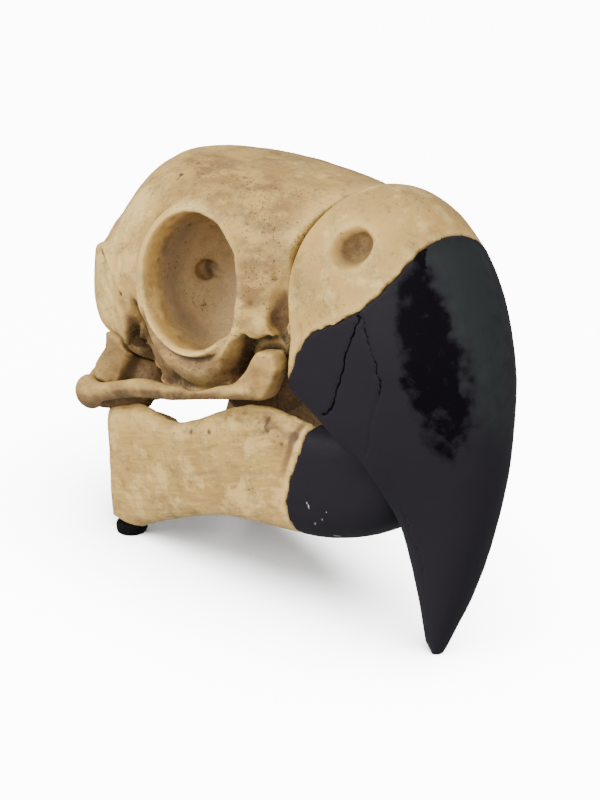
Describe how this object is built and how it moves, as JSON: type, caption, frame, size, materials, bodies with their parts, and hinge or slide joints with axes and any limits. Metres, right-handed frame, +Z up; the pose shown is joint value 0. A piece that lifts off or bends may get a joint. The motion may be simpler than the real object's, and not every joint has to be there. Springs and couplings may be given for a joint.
{
  "type": "parrot skull replica",
  "caption": "Life-size cast of a large macaw's skull with black bill sheaths, nose up on two small pads and the tip of its bill",
  "frame": {"origin": "On the floor, below the middle of the whole skull's box", "axes": "+X is forward, out of the bill; +Y is the skull's left; +Z is up, with the skull's cheek bars tipped 18 degrees nose up as it stands"},
  "size_m": [0.1302, 0.07, 0.1098],
  "materials": {
    "cast_bone": "satin",
    "black_horn": "satin",
    "pad_rubber": "matte"
  },
  "bodies": {
    "root": {"cranium": "cast_bone", "upper_bill_base": "cast_bone", "upper_bill_sheath": "black_horn", "jaw": "cast_bone", "lower_bill_sheath": "black_horn", "cheek_bar_left": "cast_bone", "cheek_bar_right": "cast_bone", "quadrate_left": "cast_bone", "quadrate_right": "cast_bone", "palatine_left": "cast_bone", "palatine_right": "cast_bone", "pterygoid_left": "cast_bone", "pterygoid_right": "cast_bone", "pad_left": "pad_rubber", "pad_right": "pad_rubber"}
  },
  "joints": []
}
